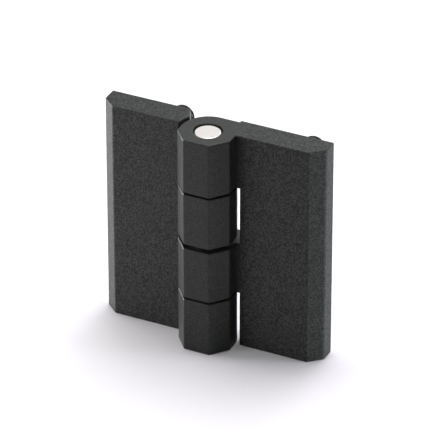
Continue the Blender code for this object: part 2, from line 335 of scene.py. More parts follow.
@dataclass(frozen=True)
class SandyGrain:
    """A shader group of fine grains, pits and clumps, as a height and as a shade."""

    grain_detail: float = 2.0
    grain_roughness: float = 0.62
    pit_fineness: float = 0.8
    pit_smoothness: float = 0.7
    pit_share: float = 0.45
    clump_fineness: float = 0.22
    clump_detail: float = 1.0
    darkest_height: float = 0.38
    lightest_height: float = 0.72

    def tree(self) -> NodeTree:
        """Build the group."""
        inputs = {
            "Vector": ("NodeSocketVector", None),
            "Grain Size": ("NodeSocketFloat", 0.5 * MM),
            "Clumping": ("NodeSocketFloat", 0.5),
        }
        wiring, given, result = new_group("ShaderNodeTree", "sandy grain", inputs, PATTERN)
        place = given["Vector"]
        fineness = wiring.math("DIVIDE", 1.0, given["Grain Size"])
        fine = {"Vector": place, "Scale": fineness, "Detail": self.grain_detail}
        fine["Roughness"] = self.grain_roughness
        grains = wiring.put("ShaderNodeTexNoise", fine).outputs[0]
        scale = wiring.math("MULTIPLY", fineness, self.pit_fineness)
        round_pits = {"Vector": place, "Scale": scale, "Smoothness": self.pit_smoothness}
        pits = wiring.put("ShaderNodeTexVoronoi", round_pits, feature="SMOOTH_F1").outputs[0]
        scale = wiring.math("MULTIPLY", fineness, self.clump_fineness)
        coarse = {"Vector": place, "Scale": scale, "Detail": self.clump_detail}
        clumps = wiring.put("ShaderNodeTexNoise", coarse).outputs[0]
        domes = wiring.math("SUBTRACT", 1.0, pits)
        mixed = wiring.blend(self.pit_share, grains, domes)
        centred = wiring.math("SUBTRACT", clumps, 0.5)
        height = wiring.math("ADD", mixed, wiring.math("MULTIPLY", centred, given["Clumping"]))
        limits = {0: height, 1: self.darkest_height, 2: self.lightest_height}
        shade = wiring.put("ShaderNodeMapRange", limits, interpolation_type="SMOOTHSTEP")
        wiring.feed(result.inputs["Height"], height)
        wiring.feed(result.inputs["Shade"], shade.outputs[0])
        return wiring.tree


@dataclass(frozen=True)
class ToolMarks:
    """A shader group of a turning tool's marks: rings about an axis along Z, uneven in depth."""

    ring_detail: float = 2.0
    smear_size: float = 1.4 * MM
    smear_detail: float = 3.0

    def tree(self) -> NodeTree:
        """Build the group."""
        inputs = {
            "Vector": ("NodeSocketVector", None),
            "Ring Spacing": ("NodeSocketFloat", 0.08 * MM),
            "Unevenness": ("NodeSocketFloat", 0.6),
        }
        wiring, given, result = new_group("ShaderNodeTree", "tool marks", inputs, PATTERN)
        place = given["Vector"]
        x, y, z = wiring.put("ShaderNodeSeparateXYZ", {0: place}).outputs
        squares = [wiring.math("MULTIPLY", part, part) for part in (x, y)]
        distance = wiring.math("SQRT", wiring.math("ADD", *squares))
        count = wiring.math("DIVIDE", wiring.math("ADD", distance, z), given["Ring Spacing"])
        even = {"W": count, "Scale": 1.0, "Detail": self.ring_detail}
        rings = wiring.put("ShaderNodeTexNoise", even, noise_dimensions="1D").outputs[0]
        fine = {"Vector": place, "Scale": 1.0 / self.smear_size, "Detail": self.smear_detail}
        smears = wiring.put("ShaderNodeTexNoise", fine).outputs[0]
        centred = wiring.math("SUBTRACT", smears, 0.5)
        uneven = wiring.math("MULTIPLY", centred, given["Unevenness"])
        wiring.feed(result.inputs["Height"], rings)
        wiring.feed(result.inputs["Shade"], wiring.math("ADD", rings, uneven, clamp=True))
        return wiring.tree


@dataclass(frozen=True)
class Finish:
    """A surface finish: its name, its darker and lighter colour and its gloss."""

    label: str
    dark: Colour
    light: Colour
    roughness: float
    roughness_spread: float
    bump_height: float
    metallic: float = 0.0
    specular: float = 0.5

    def start(self) -> tuple[Material, Wiring, Node, NodeSocket]:
        """Make the material with its Principled shader.

        Returns:
            The material, its wiring, the shader and the Object coordinates' socket.
        """
        material, wiring, shader = new_material(self.label)
        shader.inputs["Metallic"].default_value = self.metallic
        shader.inputs["Specular IOR Level"].default_value = self.specular
        material.diffuse_color = (*self.light, 1.0)
        return material, wiring, shader, wiring.put("ShaderNodeTexCoord").outputs["Object"]

    def surface(self, wiring: Wiring, shader: Node, shade: NodeSocket, height: NodeSocket) -> None:
        """Wire a shade and a height into the shader's colour, gloss and normal.

        Args:
            wiring: The material's wiring.
            shader: The Principled shader.
            shade: From 0, the darker colour, to 1, the lighter one.
            height: The bump's height, where 1 is the finish's whole bump height.
        """
        colour = wiring.tint(shade, (*self.dark, 1.0), (*self.light, 1.0))
        wiring.feed(shader.inputs["Base Color"], colour)
        low = self.roughness - self.roughness_spread
        high = self.roughness + self.roughness_spread
        wiring.feed(shader.inputs["Roughness"], wiring.blend(shade, high, low))
        relief = {"Strength": 1.0, "Distance": self.bump_height, "Height": height}
        wiring.feed(shader.inputs["Normal"], wiring.put("ShaderNodeBump", relief).outputs[0])


@dataclass(frozen=True)
class PowderCoat(Finish):
    """Black powder coating with a sandy grain, fainter on the knuckles than on the leaves."""

    grain_size: float = 0.3 * MM
    clumping: float = 0.15
    knuckle_reach: float = 8.0 * MM
    knuckle_fade: float = 0.6 * MM
    knuckle_grain: float = 0.45
    knuckle_shade: float = 0.08
    knuckle_roughness: float = 0.42

    def material(self, grain: NodeTree) -> Material:
        """The coating as a material, on objects whose pin axis is the frame's."""
        material, wiring, shader, place = self.start()
        given = {"Vector": place, "Grain Size": self.grain_size, "Clumping": self.clumping}
        sand = wiring.put("ShaderNodeGroup", given, node_tree=grain)
        across = wiring.put("ShaderNodeSeparateXYZ", {0: place}).outputs[0]
        reach = wiring.math("ABSOLUTE", across)
        faded = self.knuckle_reach + self.knuckle_fade
        fade = wiring.put("ShaderNodeMapRange", {0: reach, 1: self.knuckle_reach, 2: faded})
        leaf = fade.outputs[0]
        amount = wiring.blend(leaf, self.knuckle_grain, 1.0)
        shade = wiring.blend(amount, self.knuckle_shade, sand.outputs["Shade"])
        height = wiring.math("MULTIPLY", sand.outputs["Height"], amount)
        self.surface(wiring, shader, shade, height)
        sandy = shader.inputs["Roughness"].links[0].from_socket
        wiring.feed(shader.inputs["Roughness"], wiring.blend(leaf, self.knuckle_roughness, sandy))
        return material


@dataclass(frozen=True)
class TurnedSteel(Finish):
    """Steel with a turning tool's rings about one axis."""

    ring_spacing: float = 0.08 * MM
    unevenness: float = 0.6

    def material(self, marks: NodeTree, axis_point: Vector, axis: Vector) -> Material:
        """The steel as a material.

        Args:
            marks: The group of tool marks.
            axis_point: A point on the turning axis.
            axis: The turning axis.

        Returns:
            The material.
        """
        material, wiring, shader, place = self.start()
        turn = axis.rotation_difference(UP).to_euler()
        offset = wiring.put("ShaderNodeVectorMath", {0: place, 1: axis_point}, operation="SUBTRACT")
        turning = {"Vector": offset.outputs[0], "Rotation": turn}
        turned = wiring.put("ShaderNodeMapping", turning, vector_type="POINT").outputs[0]
        given = {"Vector": turned, "Ring Spacing": self.ring_spacing, "Unevenness": self.unevenness}
        rings = wiring.put("ShaderNodeGroup", given, node_tree=marks)
        self.surface(wiring, shader, rings.outputs["Shade"], rings.outputs["Height"])
        return material


@dataclass(frozen=True)
class BearingPlastic(Finish):
    """Black moulded plastic with a faint sparkle of moulding texture."""

    grain_size: float = 0.15 * MM

    def material(self, grain: NodeTree) -> Material:
        """The plastic as a material."""
        material, wiring, shader, place = self.start()
        given = {"Vector": place, "Grain Size": self.grain_size}
        sand = wiring.put("ShaderNodeGroup", given, node_tree=grain)
        self.surface(wiring, shader, sand.outputs["Shade"], sand.outputs["Height"])
        return material


@dataclass(frozen=True)
class PinAxis:
    """Where the frame's pin stands, and how the two castings are placed on it."""

    point: Vector
    height: float

    def placing(self, side: Side) -> Matrix:
        """The matrix that sets a casting drawn about the pin where the frame has it."""
        if side is Side.RIGHT:
            return Matrix.Translation((self.point.x, self.point.y, 0.0))
        top = Matrix.Translation((self.point.x, self.point.y, self.height))
        return top @ Matrix.Rotation(math.pi, 4, "Y")


@dataclass(frozen=True)
class LeafSection:
    """A leaf's outline across the pin, with its origin on the pin's axis and +Y to the back."""

    half_width: float = 30.0 * MM
    back_y: float = 8.2 * MM
    thickness: float = 7.4 * MM
    bevel_x: float = 3.5 * MM
    bevel_y: float = 3.1 * MM
    end_radius: float = 1.2 * MM
    end_steps: int = 6
    flat_y: float = -6.8 * MM
    flat_half: float = 3.5 * MM
    shoulder_y: float = -2.45 * MM
    side_x: float = 7.1 * MM
    round_centre_y: float = 0.35 * MM
    round_steps: int = 18
    web_step_x: float = 5.0 * MM
    notch_radius: float = 8.2 * MM
    notch_steps: int = 5
    relief_start_y: float = 4.4 * MM
    relief_end_x: float = 8.5 * MM

    @property
    def front_y(self) -> float:
        """The leaf's front face."""
        return self.back_y - self.thickness

    def notch(self) -> list[Point2]:
        """The inner end where the other leaf's knuckle turns, from the front face to the back."""
        front = math.degrees(math.asin(self.front_y / self.notch_radius))
        relief = math.degrees(math.asin(self.relief_start_y / self.notch_radius))
        curve = arc(self.notch_radius, front, relief, self.notch_steps)
        return curve + [(self.relief_end_x, self.back_y)]

    def knuckle(self) -> list[Point2]:
        """The knuckle's outline, from the leaf's back, round it, to the leaf's front face."""
        return [
            (self.web_step_x, self.back_y),
            (self.web_step_x, self.round_centre_y + self.side_x),
            *arc(self.side_x, 90.0, 180.0, self.round_steps, (0.0, self.round_centre_y)),
            (-self.side_x, self.shoulder_y),
            (-self.flat_half, self.flat_y),
            (self.flat_half, self.flat_y),
            (self.side_x, self.shoulder_y),
            (self.side_x, self.front_y),
        ]

    def outer_end(self) -> list[Point2]:
        """The rest of the leaf, from its bevel to its back."""
        slope = math.degrees(math.atan2(self.bevel_y, self.bevel_x))
        turn = 90.0 - slope
        tangent = self.end_radius * math.tan(math.radians(turn / 2))
        centre = (self.half_width - self.end_radius, self.front_y + self.bevel_y + tangent)
        return [
            (self.half_width - self.bevel_x, self.front_y),
            *arc(self.end_radius, -turn, 0.0, self.end_steps, centre),
            (self.half_width, self.back_y),
        ]


@dataclass(frozen=True)
class Pocket:
    """One cored pocket in a casting's back: a slot with round ends, drafted, with soft edges."""

    centre: Point2
    half_length: float
    half_width: float
    upright: bool = False
    depth: float = 4.6 * MM
    draft: float = 0.3 * MM
    mouth_radius: float = 0.45 * MM
    floor_radius: float = 0.7 * MM
    round_steps: int = 10
    edge_steps: int = 4

    def outline(self, growth: float) -> list[Point2]:
        """The slot as (x, z) points, with every wall moved outwards by growth."""
        half_width = self.half_width + growth
        straight = self.half_length - self.half_width
        ends = (
            arc(half_width, -90.0, 90.0, self.round_steps, (straight, 0.0)),
            arc(half_width, 90.0, 270.0, self.round_steps, (-straight, 0.0)),
        )
        x, z = self.centre
        points = [point for end in ends for point in end]
        if self.upright:
            return [(x - across, z + along) for along, across in points]
        return [(x + along, z + across) for along, across in points]

    def steps(self) -> list[Point2]:
        """How far in and how much wider the slot is, from its floor to past its mouth."""
        inset = -self.draft - self.floor_radius
        floor = arc(self.floor_radius, -90.0, 0.0, self.edge_steps, (inset, 0.0))
        mouth = arc(self.mouth_radius, 180.0, 90.0, self.edge_steps, (self.mouth_radius, 0.0))
        low = [(growth, -self.depth + self.floor_radius + rise) for growth, rise in floor]
        high = [(growth, -self.mouth_radius + rise) for growth, rise in mouth]
        return low + high + [(self.mouth_radius, CUT_OVERRUN)]

    def rings(self, back_y: float) -> list[list[Vector]]:
        """The cutter's rings, for a back face at back_y."""
        return [
            [Vector((x, back_y + depth + MOUTH_LIFT, z)) for x, z in self.outline(growth)]
            for growth, depth in self.steps()
        ]


@dataclass
class LeafCasting:
    """One leaf with its knuckles, cast in one piece, with bores, stud holes and pockets."""

    side: Side
    axis: PinAxis
    section: LeafSection = field(default_factory=LeafSection)
    edge_radius: float = 0.35 * MM
    edge_steps: int = 4
    bevelled_above: float = 21.0
    knuckle_gap: float = 0.4 * MM
    centre_gap: float = 1.1 * MM
    bore_sides: int = 96
    pin_bore: float = 3.65 * MM
    bush_seat: float = 4.4 * MM
    flange_seat: float = 5.9 * MM
    flange_depth: float = 0.95 * MM
    mouth_chamfer: float = 0.12 * MM
    stud_x: float = 18.0 * MM
    stud_from_edge: float = 12.0 * MM
    stud_hole: float = 3.3 * MM
    stud_hole_depth: float = 5.0 * MM
    stud_hole_round: float = 0.35 * MM
    row_pockets: tuple[float, ...] = (3.6 * MM, 9.3 * MM)
    row_left: float = 10.6 * MM
    row_right: float = 27.4 * MM
    row_half_width: float = 2.1 * MM
    slim_half_width: float = 1.4 * MM
    end_row_from_edge: float = 3.9 * MM
    upright_x: float = 26.0 * MM
    upright_half_length: float = 5.0 * MM
    crease: float = 50.0

    @property
    def quarter(self) -> float:
        """The height of one knuckle with its share of the gaps."""
        return self.axis.height / 4

    def levels(self) -> list[float]:
        """The heights where the casting changes from knuckle to notch and back."""
        height = self.axis.height
        return [
            0.0,
            self.quarter + self.knuckle_gap / 2,
            height / 2 - self.centre_gap / 2,
            3 * self.quarter + self.knuckle_gap / 2,
            height,
        ]

    def blank(self) -> Mesh:
        """The casting before it is bored: two sections in four storeys, with rounded edges."""
        levels = self.levels()
        height = self.axis.height
        bm = bmesh.new()

        def column(points: Sequence[Point2], heights: Sequence[float]) -> dict:
            """The points' vertices at each height."""
            return {z: [bm.verts.new((x, y, z)) for x, y in points] for z in heights}

        def wall(lower: Sequence, upper: Sequence) -> None:
            """A strip of faces between two rows of vertices."""
            for i in range(len(lower) - 1):
                bm.faces.new((lower[i], lower[i + 1], upper[i + 1], upper[i]))

        notch = column(self.section.notch(), levels)
        knuckle = column(self.section.knuckle(), levels[1:])
        leaf = column(self.section.outer_end(), (0.0, height))
        for storey, (low, high) in enumerate(zip(levels, levels[1:])):
            if storey % 2:
                rings = [[notch[z][-1], *knuckle[z], notch[z][0]] for z in (low, high)]
                wall(*rings)
            else:
                wall(notch[low], notch[high])
        wall(leaf[0.0], leaf[height])
        for end in (0, -1):
            bm.faces.new([notch[z][end] for z in levels] + [leaf[height][end], leaf[0.0][end]])
        for z in levels[1:-1]:
            bm.faces.new(notch[z] + knuckle[z])
        bm.faces.new(notch[0.0] + leaf[0.0][::-1])
        bm.faces.new([notch[height][0], *leaf[height], notch[height][-1], *knuckle[height]])
        loose = [vert for vert in bm.verts if not vert.link_faces]
        bmesh.ops.delete(bm, geom=loose, context="VERTS")
        bmesh.ops.recalc_face_normals(bm, faces=bm.faces)
        least = math.radians(self.bevelled_above)
        sharp = [edge for edge in bm.edges if edge.is_convex and edge.calc_face_angle(0.0) > least]
        bmesh.ops.bevel(
            bm,
            geom=sharp,
            offset=self.edge_radius,
            offset_type="OFFSET",
            segments=self.edge_steps,
            profile=0.5,
            affect="EDGES",
            clamp_overlap=True,
        )
        return mesh_of(bm, self.side.leaf + "_blank")

    def bore_profile(self) -> list[Point2]:
        """The bore through the knuckles, as (radius, height) points from below."""
        height = self.axis.height
        if self.side is Side.RIGHT:
            seat = self.pin_bore
            profile = [(seat, -CUT_OVERRUN)]
        else:
            seat = self.bush_seat
            wide = self.flange_seat
            _, inner, _, outer, _ = self.levels()
            profile = [(wide, inner - CUT_OVERRUN)]
            profile += [(wide, inner + self.flange_depth), (seat, inner + self.flange_depth)]
            profile += [(seat, outer - CUT_OVERRUN), (wide, outer - CUT_OVERRUN)]
            profile += [(wide, outer + self.flange_depth), (seat, outer + self.flange_depth)]
        mouth = seat + self.mouth_chamfer + CUT_OVERRUN
        return profile + [(seat, height - self.mouth_chamfer), (mouth, height + CUT_OVERRUN)]

    def bore(self) -> Mesh:
        """The cutter of the bore."""
        bm = bmesh.new()
        loft(bm, turned_rings(self.bore_profile(), self.bore_sides), Ends.CAPPED)
        return mesh_of(bm, self.side.leaf + "_bore")

    def stud_holes(self) -> Mesh:
        """The cutter of the two blind holes for the studs, with rounded mouths."""
        rounding = self.stud_hole_round
        wide = self.stud_hole + rounding
        mouth = arc(rounding, 180.0, 90.0, self.edge_steps, (wide, 0.0))
        profile = [(self.stud_hole, -self.stud_hole_depth)]
        profile += [(radius, rise - rounding + MOUTH_LIFT) for radius, rise in mouth]
        profile += [(wide, CUT_OVERRUN)]
        bm = bmesh.new()
        for height in stud_heights(self.axis.height, self.stud_from_edge):
            on_back = Matrix.Translation((self.stud_x, self.section.back_y, height))
            place = on_back @ UP_TO_BACK
            rings = turned_rings(profile, self.bore_sides)
            loft(bm, [[place @ point for point in ring] for ring in rings], Ends.CAPPED)
        return mesh_of(bm, self.side.leaf + "_stud_holes")

    def pockets(self) -> Mesh:
        """The cutter of all cored pockets: rows between the bosses, slim ones round each boss."""
        middle = self.axis.height / 2
        row_x = (self.row_left + self.row_right) / 2
        row_reach = (self.row_right - self.row_left) / 2
        slim = self.slim_half_width
        made = []
        for way in (-1, 1):
            for offset in self.row_pockets:
                made.append(Pocket((row_x, middle + way * offset), row_reach, self.row_half_width))
            end_row = middle + way * (middle - self.end_row_from_edge)
            made.append(Pocket((row_x, end_row), row_reach, slim))
            beside = (self.upright_x, middle + way * (middle - self.stud_from_edge))
            made.append(Pocket(beside, self.upright_half_length, slim, upright=True))
        bm = bmesh.new()
        for pocket in made:
            loft(bm, pocket.rings(self.section.back_y), Ends.CAPPED)
        return mesh_of(bm, self.side.leaf + "_pockets")

    def build(self, coating: Material) -> Object:
        """Cast, bore and coat the leaf, and set it where the frame has it."""
        name = self.side.value + "_casting"
        mesh = carve(self.blank(), (self.bore(), self.pockets(), self.stud_holes()), name)
        mesh = soften(mesh, self.crease)
        mesh.transform(self.axis.placing(self.side))
        mesh.materials.clear()
        mesh.materials.append(coating)
        return settle(name, mesh, self.side, Slot.CASTING, self.side.leaf)


def stud_heights(height: float, from_edge: float) -> tuple[float, float]:
    """The heights of a leaf's two studs, lower one first."""
    return (from_edge, height - from_edge)


def settle(name: str, mesh: Mesh, side: Side, slot: Slot, *nodes: str) -> Object:
    """Make a finished mesh a piece of the hinge.

    Args:
        name: The piece's name.
        mesh: Its mesh, in the frame's place.
        side: The half of the hinge that it moves with.
        slot: Not used; the record's material slot for the piece's finish.
        nodes: The frame's nodes that it stands for.

    Returns:
        The piece.
    """
    piece = link(name, mesh)
    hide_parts(*nodes)
    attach(piece, side.body)
    LOG.info("%s: %d faces, rides on %s", name, len(mesh.polygons), side.body)
    return piece


@dataclass
class HingePin:
    """The pin, sunk a little into the top and bottom knuckle, knurled where it is pressed in."""

    axis: PinAxis
    radius: float = 3.4 * MM
    sink: float = 0.3 * MM
    chamfer: float = 0.25 * MM
    end_round: float = 0.08 * MM
    sides: int = 128
    knurl_height: float = 0.12 * MM
    knurl_length: float = 9.0 * MM
    knurl_depth: float = 2.0 * MM
    crease: float = 35.0

    def rings(self) -> list[list[Vector]]:
        """The pin's rings from below, with every second point of the knurled ones lifted."""
        low = self.sink
        high = self.axis.height - self.sink
        end = self.radius - self.chamfer
        knurl_high = high - self.knurl_depth
        knurl_low = knurl_high - self.knurl_length
        corner = self.end_round
        tuck = corner / 3
        stations = [
            (end - corner, low, 0.0),
            (end, low + tuck, 0.0),
            (self.radius - tuck, low + self.chamfer, 0.0),
            (self.radius, low + self.chamfer + corner, 0.0),
            (self.radius, knurl_low, 0.0),
            (self.radius, knurl_low + self.knurl_height, self.knurl_height),
            (self.radius, knurl_high - self.knurl_height, self.knurl_height),
            (self.radius, knurl_high, 0.0),
            (self.radius, high - self.chamfer - corner, 0.0),
            (self.radius - tuck, high - self.chamfer, 0.0),
            (end, high - tuck, 0.0),
            (end - corner, high, 0.0),
        ]
        rings = turned_rings([(radius, height) for radius, height, _ in stations], self.sides)
        for ring, (radius, _, lift) in zip(rings, stations):
            for point in ring[::2]:
                point.x *= 1.0 + lift / radius
                point.y *= 1.0 + lift / radius
        return rings

    def build(self, steel: Material) -> Object:
        """Turn the pin and set it on its axis."""
        bm = bmesh.new()
        loft(bm, self.rings(), Ends.CAPPED)
        mesh = soften(mesh_of(bm, "pin"), self.crease)
        mesh.transform(self.axis.placing(Side.RIGHT))
        mesh.materials.append(steel)
        return settle("pin", mesh, Side.RIGHT, Slot.PIN, "hinge_pin")


@dataclass
class FlangedBush:
    """A plastic bush that hangs from its flange at the top of a left knuckle."""

    axis: PinAxis
    node: str
    bore: float = 3.47 * MM
    radius: float = 4.3 * MM
    flange_radius: float = 5.7 * MM
    flange_thickness: float = 0.8 * MM
    edge: float = 0.12 * MM
    sides: int = 96
    crease: float = 50.0

    def profile(self) -> list[Point2]:
        """The bush's closed section as (radius, height) points, from the frame's own box."""
        low, high = (corner.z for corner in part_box(self.node))
        under = high - self.flange_thickness
        edge = self.edge
        return [
            (self.bore, low + edge),
            (self.bore + edge, low),
            (self.radius - edge, low),
            (self.radius, low + edge),
            (self.radius, under),
            (self.flange_radius - edge, under),
            (self.flange_radius, under + edge),
            (self.flange_radius, high - edge),
            (self.flange_radius - edge, high),
            (self.bore + edge, high),
            (self.bore, high - edge),
        ]

    def build(self, plastic: Material) -> Object:
        """Mould the bush and set it on the pin."""
        bm = bmesh.new()
        loft(bm, turned_rings(self.profile(), self.sides), Ends.LOOPED)
        name = self.node + "_moulding"
        mesh = soften(mesh_of(bm, name), self.crease)
        mesh.transform(self.axis.placing(Side.RIGHT))
        mesh.materials.append(plastic)
        return settle(name, mesh, Side.LEFT, Slot.BUSH, self.node)


@dataclass
class ThreadedStud:
    """A stud with a rolled thread, a chamfered tip and a knurled root, wound from one sheet.

    The sheet's rows follow the thread's helix, so that its crest and root are edges of the mesh.
    Past both ends of the rod the rows run in to the axis and close it.
    """

    node: str
    side: Side
    stud_x: float
    back_y: float
    height: float
    radius: float = 3.0 * MM
    pitch: float = 1.0 * MM
    thread_depth: float = 0.61 * MM
    reach: float = 16.0 * MM
    root: float = 4.6 * MM
    bare_neck: float = 0.6 * MM
    tip_chamfer: float = 0.8 * MM
    rib_height: float = 0.22 * MM
    rib_count: int = 24
    rib_depth: float = 1.2 * MM
    sides: int = 72
    rows_a_pitch: int = 10
    crease: float = 32.0
    closing_pitches: ClassVar[float] = 3.0
    closing_pitches_below: ClassVar[float] = 2.0
    crest_share: ClassVar[float] = 0.15
    root_share: ClassVar[float] = 0.82

    @classmethod
    def tree(cls) -> NodeTree:
        """The geometry nodes that wind a rod with a thread and a ribbed root."""
        numbers = ("Radius", "Length", "Pitch", "Thread Depth", "Thread Start", "Chamfer")
        numbers += ("Rib Height", "Rib Start", "Rib Count")
        inputs = {label: ("NodeSocketFloat", None) for label in numbers}
        inputs |= {label: ("NodeSocketInt", None) for label in ("Sides", "Rows")}
        inputs["Material"] = ("NodeSocketMaterial", None)
        outputs = {"Geometry": "NodeSocketGeometry"}
        wiring, given, result = new_group("GeometryNodeTree", "threaded rod", inputs, outputs)
        calc = wiring.math
        radius, length, pitch = (given[label] for label in numbers[:3])
        rib = given["Rib Height"]
        counts = {"Vertices X": calc("ADD", given["Sides"], 1), "Vertices Y": given["Rows"]}
        grid = wiring.put("GeometryNodeMeshGrid", {"Size X": 1.0, "Size Y": 1.0, **counts})
        sheet = grid.outputs["Mesh"]
        position = wiring.put("GeometryNodeInputPosition").outputs[0]
        place = wiring.put("ShaderNodeSeparateXYZ", {0: position})
        turn = calc("ADD", place.outputs[0], 0.5)
        share = calc("ADD", place.outputs[1], 0.5)
        angle = calc("MULTIPLY", turn, 2.0 * math.pi)

        span = calc("MULTIPLY_ADD", pitch, cls.closing_pitches, length)
        below = calc("MULTIPLY", pitch, -cls.closing_pitches_below)
        row = calc("MULTIPLY_ADD", share, span, below)
        climb = calc("MULTIPLY_ADD", turn, pitch, row)
        height = calc("MINIMUM", calc("MAXIMUM", climb, 0.0), length)
        short = calc("MULTIPLY", climb, -1.0)
        past = calc("MAXIMUM", short, calc("SUBTRACT", climb, length))
        closed = calc("DIVIDE", past, pitch, clamp=True)
        closing = calc("SUBTRACT", 1.0, closed, clamp=True)

        phase = calc("FRACT", calc("DIVIDE", row, pitch))
        valley = calc("SUBTRACT", 1.0, calc("ABSOLUTE", calc("MULTIPLY_ADD", phase, 2.0, -1.0)))
        flank = {0: valley, 1: cls.crest_share, 2: cls.root_share}
        groove = wiring.put("ShaderNodeMapRange", flank).outputs[0]
        on_thread = calc("SUBTRACT", height, given["Thread Start"])
        run_in = calc("DIVIDE", on_thread, pitch, clamp=True)
        cut = calc("MULTIPLY", calc("MULTIPLY", groove, run_in), given["Thread Depth"])
        threaded = calc("SUBTRACT", radius, cut)

        tip = calc("SUBTRACT", radius, given["Chamfer"])
        to_tip = calc("ADD", tip, calc("SUBTRACT", length, height))
        to_root = calc("ADD", calc("SUBTRACT", radius, rib), height)
        body = calc("MINIMUM", calc("MINIMUM", threaded, to_tip), to_root)

        beat = calc("COSINE", calc("MULTIPLY", angle, given["Rib Count"]))
        wave = calc("MULTIPLY_ADD", beat, 0.5, 0.5)
        band_low = calc("DIVIDE", calc("SUBTRACT", height, rib), rib, clamp=True)
        band_high = calc("DIVIDE", calc("SUBTRACT", given["Rib Start"], height), rib, clamp=True)
        band = calc("MULTIPLY", band_low, band_high)
        ribs = calc("MULTIPLY", calc("MULTIPLY", wave, band), rib)
        reach = calc("MULTIPLY", calc("ADD", body, ribs), closing)

        x = calc("MULTIPLY", reach, calc("COSINE", angle))
        y = calc("MULTIPLY", reach, calc("SINE", angle))
        wound = wiring.put("ShaderNodeCombineXYZ", {0: x, 1: y, 2: height}).outputs[0]
        moved = {"Geometry": sheet, "Position": wound}
        shaped = wiring.put("GeometryNodeSetPosition", moved).outputs[0]
        joined = {"Geometry": shaped, "Distance": WELD_DISTANCE}
        welded = wiring.put("GeometryNodeMergeByDistance", joined).outputs[0]
        whole = wiring.put("GeometryNodeRealizeInstances", {"Geometry": welded}).outputs[0]
        coated = {"Geometry": whole, "Material": given["Material"]}
        dressed = wiring.put("GeometryNodeSetMaterial", coated).outputs[0]
        wiring.feed(result.inputs["Geometry"], dressed)
        return wiring.tree

    def build(self, tree: NodeTree, steel: Material) -> Object:
        """Wind the stud and set it in its leaf.

        Args:
            tree: The geometry nodes from tree().
            steel: The stud's material.

        Returns:
            The stud.
        """
        length = self.root + self.reach
        wound = length + self.closing_pitches * self.pitch
        rows = round(wound * self.rows_a_pitch / self.pitch) + 1
        values = {
            "Radius": self.radius,
            "Length": length,
            "Pitch": self.pitch,
            "Thread Depth": self.thread_depth,
            "Thread Start": self.root + self.bare_neck,
            "Chamfer": self.tip_chamfer,
            "Rib Height": self.rib_height,
            "Rib Start": self.root - self.rib_depth,
            "Rib Count": float(self.rib_count),
            "Sides": self.sides,
            "Rows": rows,
            "Material": steel,
        }
        item = link(self.node + "_winding", bpy.data.meshes.new(self.node + "_winding"))
        modifier = item.modifiers.new("threaded rod", "NODES")
        modifier.node_group = tree
        for socket in tree.interface.items_tree:
            if socket.in_out == "INPUT":
                modifier[socket.identifier] = values[socket.name]
        name = self.node + "_thread"
        mesh = evaluated_mesh(item, name)
        drop(item)
        mesh = soften(mesh, self.crease)
        start = Vector((self.side.sign * self.stud_x, self.back_y - self.root, self.height))
        mesh.transform(Matrix.Translation(start) @ UP_TO_BACK)
        return settle(name, mesh, self.side, Slot.STUD, self.node)


@dataclass(frozen=True)
class Lamp:
    """An area lamp that looks at the hinge.

    Its azimuth is counted from +X towards the hinge's back, and both angles are in degrees.
    """

    name: str
    azimuth: float
    elevation: float
    width: float
    height: float
    power: float
    colour: Colour = WHITE
    distance: float = 0.7

    def hang(self, target: Vector) -> None:
        """Hang the lamp round a target and turn it towards it."""
        a = math.radians(self.azimuth)
        e = math.radians(self.elevation)
        away = Vector((math.cos(a) * math.cos(e), math.sin(a) * math.cos(e), math.sin(e)))
        data = bpy.data.lights.new(self.name, "AREA")
        data.shape = "RECTANGLE"
        data.size = self.width
        data.size_y = self.height
        data.energy = self.power
        data.color = self.colour
        item = bpy.data.objects.new(self.name, data)
        item.location = target + away * self.distance
        item.rotation_euler = away.to_track_quat("Z", "Y").to_euler()
        bpy.context.scene.collection.objects.link(item)


